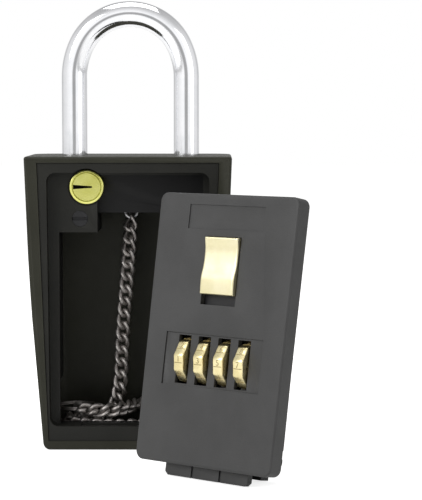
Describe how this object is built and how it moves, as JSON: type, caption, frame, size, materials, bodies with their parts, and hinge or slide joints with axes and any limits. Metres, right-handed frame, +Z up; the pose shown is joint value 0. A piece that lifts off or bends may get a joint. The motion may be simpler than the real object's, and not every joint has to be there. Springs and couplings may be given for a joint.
{
  "type": "key lock box",
  "caption": "Small hanging key safe: tapered box with a round removable shackle, inner shackle lock and key chain, and a lift-off door with number dials and a sliding release.",
  "frame": {"origin": "centre of the box's base, on the surface it stands on", "axes": "+X to the right seen from the front, +Y to the back of the box, +Z up"},
  "size_m": [0.1012, 0.1174, 0.1655],
  "materials": {
    "body_paint": "fine textured black paint",
    "door_paint": "fine textured black paint",
    "frame_plastic": "satin moulded",
    "cover_plastic": "satin moulded",
    "shackle_chrome": "polished",
    "lock_brass": "turned",
    "dial_brass": "satin",
    "hub_brass": "turned",
    "slide_brass": "bright satin",
    "chain_steel": "nickel plated",
    "plate_steel": "zinc plated",
    "screw_steel": "zinc plated",
    "black_screws": "black oxide",
    "latch_black": "black oxide",
    "spring_steel": "bright wire and strip"
  },
  "bodies": {
    "box": {"box_shell": "body_paint", "inner_frame": "frame_plastic", "frame_screws": "black_screws", "lock_cylinder": "lock_brass", "chamber_plate": "plate_steel", "chamber_screws": "screw_steel", "chain_anchor": "plate_steel", "key_chain": "chain_steel", "key_ring": "chain_steel"},
    "shackle": {"shackle": "shackle_chrome"},
    "lock_plug": {"lock_plug": "lock_brass", "plug_cam": "plate_steel"},
    "shackle_bolt": {"shackle_bolt": "plate_steel"},
    "door": {"door_plate": "door_paint", "mechanism_cover": "cover_plastic", "cover_screws": "screw_steel", "dial_axle": "plate_steel", "detent_spring": "spring_steel"},
    "release": {"release_slide": "slide_brass", "latch_plate": "latch_black", "slide_rivets": "screw_steel", "latch_spring": "spring_steel"},
    "dial_1": {"dial_1": "dial_brass", "hub_1": "hub_brass"},
    "dial_2": {"dial_2": "dial_brass", "hub_2": "hub_brass"},
    "dial_3": {"dial_3": "dial_brass", "hub_3": "hub_brass"},
    "dial_4": {"dial_4": "dial_brass", "hub_4": "hub_brass"}
  },
  "joints": [
    {"name": "shackle_lift", "type": "slide", "parent": "box", "child": "shackle", "axis": [0, 0, 1], "range_m": [0, 0.03]},
    {"name": "plug_turn", "type": "hinge", "parent": "box", "child": "lock_plug", "pos_m": [-0.0154, -0.01, 0.0967], "axis": [0, -1, 0], "range_deg": [0, 90]},
    {"name": "bolt_slide", "type": "slide", "parent": "box", "child": "shackle_bolt", "axis": [-1, 0, 0], "range_m": [0, 0.00354]},
    {"name": "door_lift", "type": "slide", "parent": "box", "child": "door", "axis": [0, 0, 1], "range_m": [0, 0.12]},
    {"name": "release_push", "type": "slide", "parent": "door", "child": "release", "axis": [-0.1044, -0.1366, -0.9851], "range_m": [0, 0.0032], "stiffness_N_per_m": 300, "springref_m": -0.003, "deforming": ["latch_spring"]},
    {"name": "dial_turn_1", "type": "hinge", "parent": "door", "child": "dial_1", "pos_m": [0.034, -0.07018, 0.03934], "axis": [0.7944, -0.6074, 0], "continuous": true},
    {"name": "dial_turn_2", "type": "hinge", "parent": "door", "child": "dial_2", "pos_m": [0.034, -0.07018, 0.03934], "axis": [0.7944, -0.6074, 0], "continuous": true},
    {"name": "dial_turn_3", "type": "hinge", "parent": "door", "child": "dial_3", "pos_m": [0.034, -0.07018, 0.03934], "axis": [0.7944, -0.6074, 0], "continuous": true},
    {"name": "dial_turn_4", "type": "hinge", "parent": "door", "child": "dial_4", "pos_m": [0.034, -0.07018, 0.03934], "axis": [0.7944, -0.6074, 0], "continuous": true}
  ],
  "couplings": [
    {"joint": "bolt_slide", "follows": "plug_turn", "m_per_rad": 0.0022508}
  ]
}
